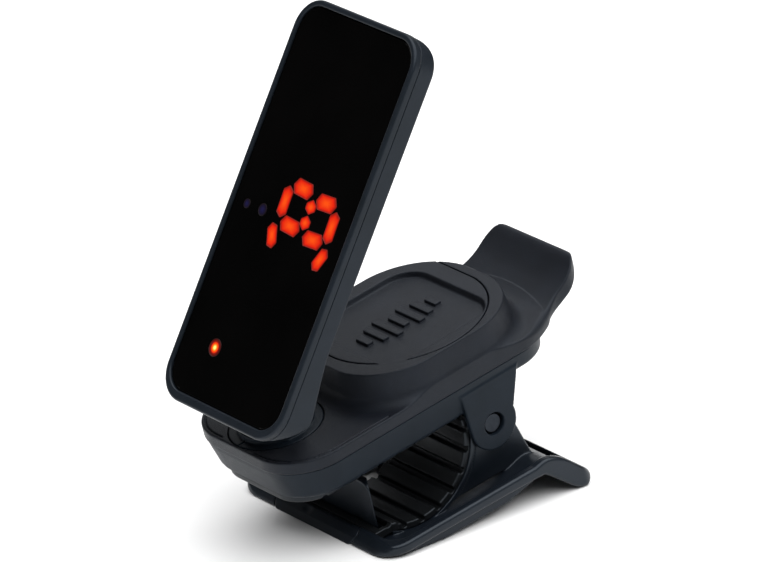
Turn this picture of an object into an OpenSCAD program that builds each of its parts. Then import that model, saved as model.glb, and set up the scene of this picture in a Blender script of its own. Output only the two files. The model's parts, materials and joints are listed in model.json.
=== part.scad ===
// Clip on tuner: a spring clip with a swivelling, tilting display.
// Millimetres. +Z is up, +X points to the thumb tab, the clip rests on its nose and tail.

/* [Stance] */
// nose-down lean of the upper jaw's deck
deck_pitch = 10.15; // [8:0.05:14]
// how much further the lower jaw leans than the deck
jaw_twist = 1.4; // [0:0.1:4]

/* [Upper jaw] */
// width of the deck
deck_w = 27.1; // [24:0.1:30]
// height of the battery housing above the deck
plateau_h = 4.8; // [4:0.1:6]
// radius of the battery lid's round side
lid_r = 12.4; // [12:0.1:12.6]
// half width of the thumb tab
tab_half = 9.3; // [8:0.1:11]

/* [Lower jaw] */
// width over the rims
jaw_w = 36; // [32:0.5:40]
// radius of the ribbed cradle
cradle_r = 9.5; // [9:0.1:9.8]
// spacing of the cradle grooves, in degrees
groove_step = 17.8; // [16:0.2:24]

/* [Display] */
// length of the display
disp_l = 59; // [56:0.5:62]
// width of the display
disp_w = 27.3; // [25:0.1:29]
// lean of the display behind the deck's normal
disp_lean = 41.7; // [35:0.1:45]
// radius of the display's corners
disp_r = 4.6; // [4:0.1:5.5]

/* [Hidden] */
$fn = 64;
eps = 0.01;

// stance: offset that puts the base on z = 0 and the box's centre on the z axis
stand_x = -25.767;
stand_z = 16.043;
// lower jaw's nose corner, in the deck frame
jaw_x = 8.4;
jaw_z = -17.8;
// jaw pivot, in the deck frame and in the lower jaw frame
pivot_x = 33.4;
pivot_z = -9.9;
pin_r = 1.6;
pin_play = 0.05;
pin_half = 12.9;
jaw_pivot = [24.8, 8.5];

// housing split line and depths
seam_z = -1.85;
split = 0.02;
shell_z = -6.8;
wall = 1.2;
lid_x = 31;
lid_z = 3.2;
lid_gap = 0.15;
track_out = 13.15;
track_back = 4.2;
track_h = 0.75;
tongue_in = 0.15;
cup_r = 10.3;
cup_z = -0.9;
hollow_top = 1.4;
swivel_x = 7.2;
swivel_r = 6.94;
swivel_t = 0.95;
boss_r = 3;
posts = [[21, 9, shell_z], [41.5, 7.5, -4.6]];
screw_r = 0.7;
head_r = 1.4;

// hinge between the swivel and the display, in the deck frame
hinge_x = 6.8;
hinge_z = 5.2;
hinge_r = 0.8;
hinge_play = 0.05;
arm_in = 3.8;
arm_out = 5.3;
arm_r = 1.45;
// display's bottom front edge, in the deck frame
disp_x = -2.2;
disp_z = 5.8;
// hinge seen from the display's own corner: depth behind the face, height
hinge_dep = (hinge_x - disp_x) * cos(disp_lean) - (hinge_z - disp_z) * sin(disp_lean);
hinge_up = (hinge_x - disp_x) * sin(disp_lean) + (hinge_z - disp_z) * cos(disp_lean);
button_up = 47;

// ---------- frames ----------

module standing() {
    translate([stand_x, 0, stand_z]) rotate([0, -deck_pitch, 0]) children();
}

module on_lower() {
    standing() translate([jaw_x, 0, jaw_z]) rotate([0, jaw_twist, 0]) children();
}

module on_display() {
    standing() translate([disp_x, 0, disp_z]) rotate([0, disp_lean, 0]) children();
}

// an (x, z) outline made 2 * half wide across y
module across(half) {
    rotate([90, 0, 0]) translate([0, 0, -half]) linear_extrude(2 * half) children();
}

module slab_y(y0, y1) {
    translate([0, y1, 0]) rotate([90, 0, 0]) linear_extrude(y1 - y0) children();
}

module both_sides() {
    children();
    mirror([0, 1, 0]) children();
}

module y_cyl(x, z, r, half) {
    translate([x, half, z]) rotate([90, 0, 0]) cylinder(r = r, h = 2 * half);
}

// rounded rectangle from x0 to x1, with its own corner radius at each end
module round_plan(x0, x1, half, r0, r1) {
    for (s = [-1, 1]) {
        translate([x0 + r0, s * (half - r0)]) circle(r = r0);
        translate([x1 - r1, s * (half - r1)]) circle(r = r1);
    }
    translate([x0 + r0, -half]) square([x1 - r1 - x0 - r0, 2 * half]);
    translate([x0, r0 - half]) square([x1 - x0 - r1, 2 * (half - r0)]);
    translate([x0 + r0, r1 - half]) square([x1 - x0 - r0, 2 * (half - r1)]);
}

// ---------- lower jaw ----------

module jaw_side() {
    polygon([[0, 0], [0.8, 0.95], [1.9, 1.65], [27, 1.7], [28.4, 2], [29.3, 2],
        [30.5, 1.6], [31.7, 0.9], [32.7, 0], [34.2, -1.6], [35.7, -3.1], [36.4, -3.9],
        [36.4, -4.4], [36.1, -4.9], [35.1, -5.4], [34.1, -5.25], [33.2, -4.8],
        [32.3, -4], [30.4, -2.1], [28.9, -0.6], [28, 0]]);
}

// what is hollowed out between the rims: deep trough, then the tail's dished top
module trough_side() {
    polygon([[2.6, 0.3], [5, 0], [10.5, -0.85], [22, -0.85], [26.8, 0.3], [28, 0.75],
        [29.3, 0.9], [30.5, 0.5], [31.7, -0.2], [32.7, -1.1], [34.2, -2.7], [35.2, -3.7],
        [35.2, 4], [2.6, 4]]);
}

// floor that hangs below the rims, clear of the surface the clip stands on
module belly_side() {
    polygon([[2, 0.3], [2.6, -0.25], [10.5, -1.45], [22, -1.45], [27.6, -0.35], [28.2, 0.3]]);
}

cradle = [10.9, 9.75];
web_r = 10.6;
web_t = 0.6;
wall_out = 12.2;
wall_in = 11;
rim_in = jaw_w / 2 - 1.4;
insert_half = 8.9;

// side of the wall that carries the pivot
module cheek_side() {
    translate(jaw_pivot) circle(r = 3.4);
    polygon([[12, 0], [30.7, 0], [29.9, 2.8], [28.8, 6.6], [28.1, 9.3], [21.8, 10.2],
        [19.5, 10.2]]);
}

// plate, rims and tail, hollowed between the rims
module jaw_plate() {
    difference() {
        union() {
            intersection() {
                across(jaw_w / 2) jaw_side();
                translate([0, 0, -7]) linear_extrude(12) round_plan(0, 36.6, jaw_w / 2, 4.4, 2);
            }
            across(rim_in + 0.6) belly_side();
        }
        intersection() {
            across(rim_in) trough_side();
            translate([0, 0, -7]) linear_extrude(12) round_plan(2.6, 40, rim_in, 3, 3);
        }
        // seat of the nose insert
        translate([-1, -insert_half - 0.1, -1]) cube([3.5, 2 * insert_half + 0.2, 3]);
        y_cyl(cradle[0], cradle[1], web_r, wall_out);
    }
}

module lower_jaw_frame() {
    color([0.14, 0.16, 0.19]) on_lower() difference() {
        union() {
            jaw_plate();
            // front fin, its back edges cut away
            intersection() {
                slab_x(4, 5.2, 10.95, -0.1, 8.5, 1.8);
                linear_extrude(20, center = true) polygon([[3.9, 11], [5.3, 8.7], [5.3, -8.7], [3.9, -11]]);
            }
            // curved web behind the cradle pad
            intersection() {
                across(wall_out) difference() {
                    translate(cradle) circle(r = web_r + web_t);
                    translate(cradle) circle(r = web_r);
                }
                translate([5.4, -20, -3]) cube([20, 40, 13]);
            }
            // pivot walls
            both_sides() slab_y(wall_in, wall_out) difference() {
                cheek_side();
                translate(cradle) circle(r = web_r);
            }
        }
        y_cyl(jaw_pivot[0], jaw_pivot[1], pin_r + pin_play, 20);
        pad_window();
    }
}

// plate standing across the jaw with rounded top corners
module slab_x(x0, x1, half, z0, z1, r) {
    difference() {
        translate([x0, -half, z0]) cube([x1 - x0, 2 * half, z1 - z0]);
        for (s = [0, 1]) mirror([0, s, 0]) translate([x0 - 1, half - r, z1 - r]) difference() {
            cube([x1 - x0 + 2, r + 1, r + 1]);
            rotate([0, 90, 0]) cylinder(r = r, h = x1 - x0 + 2);
        }
    }
}

// opening in the cradle's far side
module pad_window() {
    translate([10.6, 2.6, -4]) cube([6.2, 6.6, 6]);
}

module nose_insert() {
    color([0.16, 0.18, 0.21]) on_lower() intersection() {
        across(insert_half) jaw_side();
        translate([0, -10, 0]) cube([2.4, 20, 3]);
    }
}

pad_from = -127.5;
pad_to = 0;

module lower_pad() {
    color([0.09, 0.1, 0.11]) on_lower() difference() {
        union() {
            intersection() {
                across(12.1) difference() {
                    translate(cradle) circle(r = web_r - 0.02);
                    translate(cradle) circle(r = cradle_r);
                }
                translate([5.5, -13, -3]) cube([20, 26, 14]);
            }
            // lip that runs forward round the fin to the nose
            translate([2.65, -12.1, 0.45]) cube([1.25, 24.2, 1.2]);
            both_sides() translate([2.65, 11.2, 0.45]) cube([3.35, 0.9, 1.2]);
        }
        // cross grooves in the gripping face
        for (a = [pad_from : groove_step : pad_to])
            y_cyl(cradle[0] + cradle_r * cos(a), cradle[1] + cradle_r * sin(a), 0.45, 13);
        translate([3.92, -11.05, 0]) cube([1.32, 22.1, 9]);
        pad_window();
        // room under the upper jaw
        translate([10, -14, 10.9]) cube([20, 28, 4]);
    }
}

module jaw_pin() {
    color([0.6, 0.61, 0.63]) standing() y_cyl(pivot_x, pivot_z, pin_r, pin_half);
}

wire_r = 0.4;
coil_r = 2.25;
coils = 7;
coil_pitch = 2 * wire_r - 0.04;
leg_y = (coils - 1) / 2 * coil_pitch;

module jaw_spring() {
    color([0.62, 0.62, 0.6]) standing() translate([pivot_x, 0, pivot_z]) {
        for (i = [0 : coils - 1])
            translate([0, (i - (coils - 1) / 2) * coil_pitch, 0]) rotate([90, 0, 0])
                rotate_extrude() translate([coil_r, 0]) circle(r = wire_r, $fn = 24);
        // legs: one up under the housing, one down to the plate
        translate([0, -leg_y, coil_r]) rotate([0, 66, 0]) cylinder(r = wire_r, h = 6.4, $fn = 24);
        translate([0, leg_y, -coil_r]) rotate([0, 160, 0]) cylinder(r = wire_r, h = 6.1, $fn = 24);
    }
}

// ---------- upper jaw ----------

module deck_plan(inset) {
    round_plan(inset, 47.4 - inset, deck_w / 2 - inset, 8 - inset, 6.4 - inset);
}

module plateau_plan(inset) {
    round_plan(16.5 + inset, 45.1 - inset, 13.2 - inset, 9.5 - inset, 11 - inset);
}

// thumb tab: a dished tongue that leaves the deck's rear and turns up
module tab_side() {
    polygon([[42, seam_z], [42, 0.2], [47.3, 0.2], [48.6, 0.45], [50, 1.05], [51.9, 2],
        [53.6, 3.2], [55.2, 4.6], [55.9, 4.6], [56.2, 3.8], [55.6, 2.2], [54.5, 1],
        [53, 0], [51, -0.95], [48.8, -1.6], [47.6, seam_z]]);
}

// flares from the tab's width to the deck's
module tab_root() {
    polygon([[41, -12.6], [44.4, -12.3], [46, -11.5], [47.4, -10.7], [49, -10], [51, -tab_half],
        [51, tab_half], [49, 10], [47.4, 10.7], [46, 11.5], [44.4, 12.3], [41, 12.6]]);
}

// battery lid: round on one side, running out through the housing's wall on the other
module lid_plan(gap) {
    translate([lid_x, 0]) circle(r = lid_r + gap);
    translate([lid_x - lid_r - gap, 0]) square([2 * (lid_r + gap), 20]);
}

module upper_housing() {
    color([0.17, 0.18, 0.2]) standing() difference() {
        union() {
            translate([0, 0, seam_z]) linear_extrude(-seam_z) deck_plan(0);
            translate([0, 0, seam_z]) linear_extrude(plateau_h - seam_z) plateau_plan(0);
            intersection() {
                across(13) tab_side();
                translate([0, 0, -6]) linear_extrude(12) {
                    round_plan(40, 56.2, tab_half, 2, 3.8);
                    tab_root();
                }
            }
        }
        // battery lid seat, the tracks its tongues slide in, and the cell cup
        translate([0, 0, lid_z - lid_gap]) linear_extrude(4) lid_plan(lid_gap);
        translate([lid_x - track_out, -track_back, lid_z - lid_gap])
            cube([2 * track_out, track_back + 20, track_h]);
        translate([lid_x, 0, cup_z]) cylinder(r = cup_r, h = 6);
        translate([19.9, -2.5, cup_z]) cube([2, 5, 3.6]);
        // swivel seat
        translate([swivel_x, 0, -swivel_t - 0.05]) cylinder(r = swivel_r + 0.12, h = 2);
        translate([swivel_x, 0, -3]) cylinder(r = boss_r + 0.1, h = 3);
        // hollow between the outer wall and the cell cup, less the screw bosses
        difference() {
            translate([0, 0, seam_z - 1]) linear_extrude(hollow_top + 1 - seam_z) plateau_plan(wall);
            translate([lid_x, 0, -4]) cylinder(r = cup_r + 1, h = 8);
            for (p = posts) for (s = [-1, 1])
                translate([p[0], s * p[1], -4]) cylinder(r = 1.7, h = 8);
        }
        for (p = posts) for (s = [-1, 1])
            translate([p[0], s * p[1], seam_z - 1]) cylinder(r = screw_r + 0.03, h = 3.9);
    }
}

module shell_side() {
    polygon([[0.3, seam_z - split], [1.4, shell_z], [28.5, shell_z], [39, -4.6], [46, -4.6],
        [46.9, -4.3], [47.35, -3.6], [47.35, seam_z - split]]);
}

module shell_room() {
    polygon([[1.5, seam_z + 1], [2.6, -5.9], [28.4, -5.9], [38.8, -3.7], [45.6, -3.7],
        [46.1, seam_z + 1]]);
}

// cross section that draws the walls in towards the bottom
module shell_section(half) {
    rotate([90, 0, 90]) linear_extrude(60) polygon([[-half, seam_z + 2], [half, seam_z + 2],
        [half, seam_z - 0.6], [half - 1, shell_z - 0.1], [1 - half, shell_z - 0.1],
        [-half, seam_z - 0.6]]);
}

module lower_shell() {
    color([0.15, 0.17, 0.2]) standing() difference() {
        union() {
            intersection() {
                translate([0, 0, -9]) linear_extrude(9) deck_plan(0.1);
                across(14) shell_side();
                shell_section(13.45);
            }
            // pivot ears
            both_sides() slab_y(12.5, 13.4) {
                translate([pivot_x, pivot_z]) circle(r = 3.9);
                polygon([[29.5, -9.9], [29.1, -3], [39.2, -3], [38.9, -4.6], [37.2, -9.3]]);
            }
        }
        difference() {
            intersection() {
                translate([0, 0, -9]) linear_extrude(9) deck_plan(wall + 0.1);
                across(14) shell_room();
                shell_section(12.2);
            }
            for (p = posts) for (s = [-1, 1])
                translate([p[0], s * p[1], -9]) cylinder(r = 1.9, h = 9);
        }
        for (p = posts) for (s = [-1, 1]) translate([p[0], s * p[1], 0]) {
            translate([0, 0, -9]) cylinder(r = screw_r + 0.05, h = 9);
            translate([0, 0, p[2] - 1]) cylinder(r = head_r + 0.15, h = 2.05);
        }
        both_sides() y_cyl(pivot_x, pivot_z, pin_r + pin_play, 14);
    }
}

module upper_pad() {
    color([0.09, 0.1, 0.11]) standing() difference() {
        translate([0, 0, -8]) linear_extrude(8 + shell_z - split) round_plan(1.9, 26.5, 10.6, 5.8, 2);
        for (x = [6 : 3.2 : 23]) y_cyl(x, -8, 0.45, 11);
    }
}

module coin_cell() {
    color([0.75, 0.75, 0.74]) standing() translate([lid_x, 0, -0.45]) {
        cylinder(r = 8.8, h = 0.4);
        translate([0, 0, 0.35]) cylinder(r = 10, h = 2.85);
    }
}

module contact_minus() {
    color([0.7, 0.6, 0.35]) standing() {
        translate([lid_x - 6, -1.5, cup_z + 0.02]) cube([12, 3, 0.2]);
        translate([lid_x, 0, cup_z + 0.1]) cylinder(r = 1.1, h = 0.32);
    }
}

module contact_plus() {
    color([0.7, 0.6, 0.35]) standing() {
        translate([20.2, -2, cup_z + 0.05]) cube([0.25, 4, 3.2]);
        translate([20.4, 0, 1]) rotate([0, 90, 0]) cylinder(r = 0.6, h = 0.5);
    }
}

module main_board() {
    color([0.05, 0.22, 0.12]) standing() {
        translate([16, -6.8, -3.3]) cube([23, 13.6, 0.8]);
        translate([20, -2.4, -2.51]) cube([4.8, 4.8, 0.5]);
    }
}

module piezo_sensor() {
    color([0.75, 0.62, 0.3]) standing() translate([14, 0, -5.88]) {
        cylinder(r = 6, h = 0.2);
        translate([0, 0, 0.19]) cylinder(r = 4, h = 0.2);
    }
}

module cross_screw(shank, head, shank_r, top_r) {
    difference() {
        union() {
            translate([0, 0, -head]) cylinder(r = top_r, h = head);
            translate([0, 0, -eps]) cylinder(r = shank_r, h = shank);
        }
        for (a = [0, 90]) rotate([0, 0, a])
            translate([-top_r * 0.6, -top_r * 0.12, -head - 1]) cube([top_r * 1.2, top_r * 0.24, 1.3]);
    }
}

module housing_screws() {
    color([0.3, 0.3, 0.32]) standing() for (p = posts) for (s = [-1, 1])
        translate([p[0], s * p[1], p[2] + 1.03]) cross_screw(-0.23 - p[2], 0.8, screw_r, head_r);
}

// ---------- battery lid ----------

module battery_lid() {
    color([0.18, 0.18, 0.2]) standing() {
        difference() {
            translate([0, 0, lid_z]) linear_extrude(plateau_h - lid_z) intersection() {
                lid_plan(0);
                plateau_plan(0);
            }
            translate([0, 0, plateau_h - recess]) linear_extrude(2) round_plan(21, 40.5, 10.3, 4, 4.5);
        }
        // tongues that hold it down
        translate([lid_x - track_out + tongue_in, -track_back + tongue_in, lid_z])
            cube([1.2, 8, track_h - 2 * tongue_in]);
        translate([lid_x + track_out - tongue_in - 1.2, -track_back + tongue_in, lid_z])
            cube([1.2, 8, track_h - 2 * tongue_in]);
        // plain raised bars
        for (i = [0 : 6]) translate([23.7 + 2.05 * i, -bar_half[i], plateau_h - recess - eps])
            cube([1.2, 2 * bar_half[i], 0.4]);
    }
}

recess = 0.8;
bar_half = [1.4, 2.4, 3.1, 1.9, 2.9, 2.2, 1.3];

// ---------- swivel ----------

module swivel_disc() {
    color([0.16, 0.17, 0.19]) standing() difference() {
        union() {
            translate([swivel_x, 0, -swivel_t]) cylinder(r = swivel_r, h = swivel_t);
            translate([swivel_x, 0, -2.35]) cylinder(r = boss_r, h = 1.5);
            translate([swivel_x, 0, -eps]) cylinder(r = 5.4, h = 0.9);
            both_sides() slab_y(arm_in, arm_out) {
                translate([hinge_x, hinge_z]) circle(r = arm_r);
                translate([hinge_x - arm_r, 0]) square([2 * arm_r, hinge_z]);
            }
        }
        y_cyl(hinge_x, hinge_z, hinge_r + 0.02, 6);
        translate([swivel_x, 0, -3]) cylinder(r = 0.75, h = 3.4);
        // index mark
        translate([0.8, -0.12, -0.15]) cube([1, 0.24, 1]);
    }
}

module swivel_washer() {
    color([0.7, 0.7, 0.68]) standing() translate([swivel_x, 0, -2.2]) difference() {
        cylinder(r = 4.9, h = 0.3);
        translate([0, 0, -1]) cylinder(r = boss_r + 0.05, h = 3);
    }
}

module swivel_screw() {
    color([0.55, 0.55, 0.56]) standing() translate([swivel_x, 0, -2.37]) cross_screw(2.4, 0.7, 0.7, 4.2);
}

module hinge_pin() {
    color([0.6, 0.61, 0.63]) standing() y_cyl(hinge_x, hinge_z, hinge_r, arm_out);
}

// ---------- display ----------

// display outline, drawn as (height, across)
module disp_plan(inset, bottom, top) {
    round_plan(bottom + inset, disp_l - top - inset, disp_w / 2 - inset, disp_r - inset, disp_r - inset);
}

// a plan in the display's face, from depth d0 to d1
module layer(d0, d1) {
    translate([d1, 0, 0]) rotate([0, -90, 0]) linear_extrude(d1 - d0) children();
}

module back_side() {
    polygon([[1.22, 0], [1.22, disp_l], [1.6, 58.7], [2.4, 58.1], [3.2, 56.8], [3.65, 54.6],
        [3.7, 52], [3.7, 15], [4.4, 10.9], [4.75, 8], [5.3, 5.4], [5.2, 4.3], [4.65, 3.4],
        [3.65, 2.5], [2.5, 1.5], [1.4, 0.4]]);
}

module display_back() {
    color([0.16, 0.18, 0.21]) on_display() difference() {
        union() {
            intersection() {
                layer(1, 7) disp_plan(0, 0, 0);
                across(20) back_side();
            }
            // hinge knuckle
            y_cyl(hinge_dep, hinge_up, 1.7, 3.5);
            translate([3.4, -3.5, hinge_up - 1.7]) cube([hinge_dep - 3.4, 7, 3.4]);
        }
        layer(1, 2.95) disp_plan(1.45, 1.2, 0);
        y_cyl(hinge_dep, hinge_up, hinge_r + hinge_play, 6);
        translate([2, 0, button_up]) rotate([0, 90, 0]) cylinder(r = 2.6, h = 3);
        for (s = [-1, 1]) translate([2, s * 9.5, 6.4]) rotate([0, 90, 0]) {
            cylinder(r = 0.55, h = 5);
            translate([0, 0, 2.1]) cylinder(r = 1.15, h = 4);
        }
    }
}

module display_bezel() {
    color([0.17, 0.19, 0.22]) on_display() difference() {
        layer(0, 1.2) disp_plan(0, 0, 0);
        layer(-1, 3) disp_plan(0.9, 0.5, 0);
    }
}

module display_window() {
    color([0.02, 0.02, 0.02, 0.5]) on_display() layer(0.25, 0.95) disp_plan(0.95, 0.5, 0);
}

// lit note segments: height, across, half length, half width, turn
segs = [[34, -0.6, 2, 0.95, 85], [33.4, -6.3, 2, 0.95, 93], [31.4, 2.2, 2.1, 1, 3],
    [30.6, -8.8, 2.1, 1, 3], [32, -3.4, 0.95, 0.9, 0], [29.9, -3.4, 0.95, 0.9, 0],
    [28.5, -0.6, 2, 0.95, 85], [28, -6.2, 2, 0.95, 93], [26.4, 2.3, 1.5, 0.8, 25],
    [25.9, -9.1, 1.5, 0.8, -25]];
leds = [[9, 5.3], [29.1, 6.1], [29, 9.7]];

module seg_plan(h, w) {
    polygon([[-h, 0], [0.6 * w - h, -w], [h - 0.6 * w, -w], [h, 0], [h - 0.6 * w, w],
        [0.6 * w - h, w]]);
}

module light_mask() {
    color([0.03, 0.03, 0.03]) on_display() {
        difference() {
            layer(0.98, 1.7) disp_plan(1.6, 1.3, 0.2);
            for (g = segs) layer(0, 3) translate([g[0], g[1]]) rotate(g[4])
                seg_plan(g[2] + 0.06, g[3] + 0.06);
            for (l = leds) translate([0, l[1], l[0]]) rotate([0, 90, 0]) cylinder(r = 0.85, h = 3);
        }
        for (s = [-1, 1]) translate([1.65, s * 9.5, 6.4]) rotate([0, 90, 0]) difference() {
            cylinder(r = 1.2, h = 1.27);
            translate([0, 0, 0.3]) cylinder(r = 0.47, h = 3);
        }
    }
}

module note_segments() {
    color([1, 0.25, 0.02]) on_display() for (g = segs)
        layer(1, 1.68) translate([g[0], g[1]]) rotate(g[4]) seg_plan(g[2], g[3]);
}

module meter_leds() {
    color([0.9, 0.3, 0.1]) on_display() for (l = leds)
        translate([1, l[1], l[0]]) rotate([0, 90, 0]) cylinder(r = 0.75, h = 0.68);
}

module display_board() {
    color([0.05, 0.22, 0.12]) on_display() layer(1.75, 2.25) disp_plan(1.7, 7.2, 0.3);
}

module switch_dome() {
    color([0.8, 0.8, 0.78]) on_display() translate([2.27, 0, button_up]) rotate([0, 90, 0])
        cylinder(r = 1.6, h = 0.12);
}

module display_screws() {
    color([0.3, 0.3, 0.32]) on_display() for (s = [-1, 1])
        translate([4.12, s * 9.5, 6.4]) rotate([0, -90, 0]) cross_screw(1.95, 0.5, 0.45, 1);
}

module power_button() {
    color([0.12, 0.13, 0.15]) on_display() translate([2.7, 0, button_up]) rotate([0, 90, 0]) {
        cylinder(r = 3.1, h = 0.2);
        cylinder(r = 2.45, h = 1.3);
    }
}

lower_jaw_frame();
nose_insert();
lower_pad();
jaw_pin();
jaw_spring();
upper_housing();
lower_shell();
upper_pad();
coin_cell();
contact_minus();
contact_plus();
main_board();
piezo_sensor();
housing_screws();
battery_lid();
swivel_disc();
swivel_washer();
swivel_screw();
hinge_pin();
display_back();
display_bezel();
display_window();
light_mask();
note_segments();
meter_leds();
display_board();
switch_dome();
display_screws();
power_button();
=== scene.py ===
import json
import math

import bpy
import numpy as np
from mathutils import Matrix, Vector


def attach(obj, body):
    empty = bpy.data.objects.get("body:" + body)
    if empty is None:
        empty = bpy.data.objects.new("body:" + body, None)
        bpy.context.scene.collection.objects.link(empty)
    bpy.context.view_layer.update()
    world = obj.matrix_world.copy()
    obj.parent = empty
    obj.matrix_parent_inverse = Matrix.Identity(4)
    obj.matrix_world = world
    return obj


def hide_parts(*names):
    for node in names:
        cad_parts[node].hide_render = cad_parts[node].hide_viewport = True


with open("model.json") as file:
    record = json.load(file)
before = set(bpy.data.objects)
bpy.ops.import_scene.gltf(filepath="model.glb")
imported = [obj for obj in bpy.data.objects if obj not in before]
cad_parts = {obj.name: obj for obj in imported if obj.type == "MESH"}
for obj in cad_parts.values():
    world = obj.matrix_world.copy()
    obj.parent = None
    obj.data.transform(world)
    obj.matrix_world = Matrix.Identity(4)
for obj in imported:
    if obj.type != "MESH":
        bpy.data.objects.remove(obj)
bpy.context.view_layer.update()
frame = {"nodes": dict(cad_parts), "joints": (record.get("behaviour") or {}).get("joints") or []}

MM = 0.001
COARSE = 1.0
JOINT = {j["name"]: j for j in frame["joints"]}

# ---------------------------------------------------------------- frames
# Shapes are drawn in millimetres in the deck's, the lower jaw's or the display's own frame.
SWIVEL_X = 7.2
HINGE = (6.8, 5.2)
PIVOT = (33.4, -9.9)


def deck_frame():
    up = Vector(JOINT["swivel_turn"]["axis"]).normalized()
    side = Vector((0, 1, 0))
    ahead = side.cross(up)
    m = Matrix((ahead, side, up)).transposed().to_4x4()
    m.translation = Vector(JOINT["swivel_turn"]["pos_m"]) - ahead * SWIVEL_X * MM
    return m @ Matrix.Scale(MM, 4)


def lean(x, z, degrees):
    return Matrix.Translation((x, 0, z)) @ Matrix.Rotation(math.radians(degrees), 4, "Y")


DECK = deck_frame()
LOWER = DECK @ lean(8.4, -17.8, 1.4)
FACE = DECK @ lean(-2.2, 5.8, 41.7)


# ---------------------------------------------------------------- distance fields
def rmax(a, b, r):
    """Both shapes, with the edge between them rounded to radius r."""
    return np.minimum(-r, np.maximum(a, b)) + np.hypot(np.maximum(r + a, 0), np.maximum(r + b, 0))


def rmin(a, b, r):
    """Either shape, with a fillet of radius r between them."""
    return np.maximum(r, np.minimum(a, b)) - np.hypot(np.maximum(r - a, 0), np.maximum(r - b, 0))


def slab(v, low, high):
    return np.maximum(low - v, v - high)


def plan(x, y, x0, x1, half, r0, r1):
    """Rounded rectangle from x0 to x1, with its own corner radius at each end."""
    mid = (x0 + x1) / 2
    r = np.where(x < mid, r0, r1)
    qx = np.abs(x - mid) - (x1 - x0) / 2 + r
    qy = np.abs(y) - half + r
    return np.minimum(np.maximum(qx, qy), 0) + np.hypot(np.maximum(qx, 0), np.maximum(qy, 0)) - r


def block(x, y, z, low, high, r):
    d = slab(x, low[0], high[0])
    for v, i in ((y, 1), (z, 2)):
        d = rmax(d, slab(v, low[i], high[i]), r)
    return d


def poly(points):
    """Signed distance to a closed outline, negative inside."""
    pts = np.array(points, float)

    def field(u, v):
        best = np.full(np.shape(u), 1e9, np.float32)
        inside = np.zeros(np.shape(u), bool)
        for a, b in zip(pts, np.roll(pts, -1, 0)):
            e = b - a
            wu, wv = u - a[0], v - a[1]
            t = np.clip((wu * e[0] + wv * e[1]) / (e @ e), 0, 1)
            best = np.minimum(best, (wu - e[0] * t) ** 2 + (wv - e[1] * t) ** 2)
            if e[1]:
                cross = (a[1] <= v) != (b[1] <= v)
                inside ^= cross & (wu < e[0] * wv / e[1])
        return np.where(inside, -1, 1) * np.sqrt(best)

    return field


def eased(points, keep=(), rounds=2):
    """The outline with its corners cut away, except those numbered in keep."""
    pts = [(p, i in keep) for i, p in enumerate(points)]
    for _ in range(rounds):
        out = []
        n = len(pts)
        for i, (p, fixed) in enumerate(pts):
            before, after = pts[i - 1][0], pts[(i + 1) % n][0]
            if fixed:
                out.append((p, True))
            else:
                out += [((0.75 * p[0] + 0.25 * q[0], 0.75 * p[1] + 0.25 * q[1]), False)
                        for q in (before, after)]
        pts = out
    return [p for p, _ in pts]


# ---------------------------------------------------------------- meshing
BLOCK = 8
HALF_DIAGONAL = 0.87
FIELD_SLACK = 1.35
NEAR_MM = 0.3
NORMAL_STEP = 0.12


def sample(field, lo, h, n):
    """The field on a grid of n points a side, worked out only near the surface."""
    blocks = [range(0, k, BLOCK) for k in n]
    starts = np.array(np.meshgrid(*blocks, indexing="ij")).reshape(3, -1).T
    mid = lo + (starts + (BLOCK - 1) / 2) * h
    at_mid = field(*[mid[:, i] for i in range(3)])
    near = np.abs(at_mid) < h * BLOCK * HALF_DIAGONAL * FIELD_SLACK + NEAR_MM
    grid = np.empty(n, np.float32)
    for s, v in zip(starts[~near], at_mid[~near]):
        grid[s[0]:s[0] + BLOCK, s[1]:s[1] + BLOCK, s[2]:s[2] + BLOCK] = v
    cell = np.array(np.meshgrid(*[range(BLOCK)] * 3, indexing="ij")).reshape(3, -1).T
    live = starts[near]
    for k in range(0, len(live), 600):
        at = (live[k:k + 600, None, :] + cell[None]).reshape(-1, 3)
        p = lo + at * h
        grid[at[:, 0], at[:, 1], at[:, 2]] = field(p[:, 0], p[:, 1], p[:, 2])
    return grid


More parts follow.
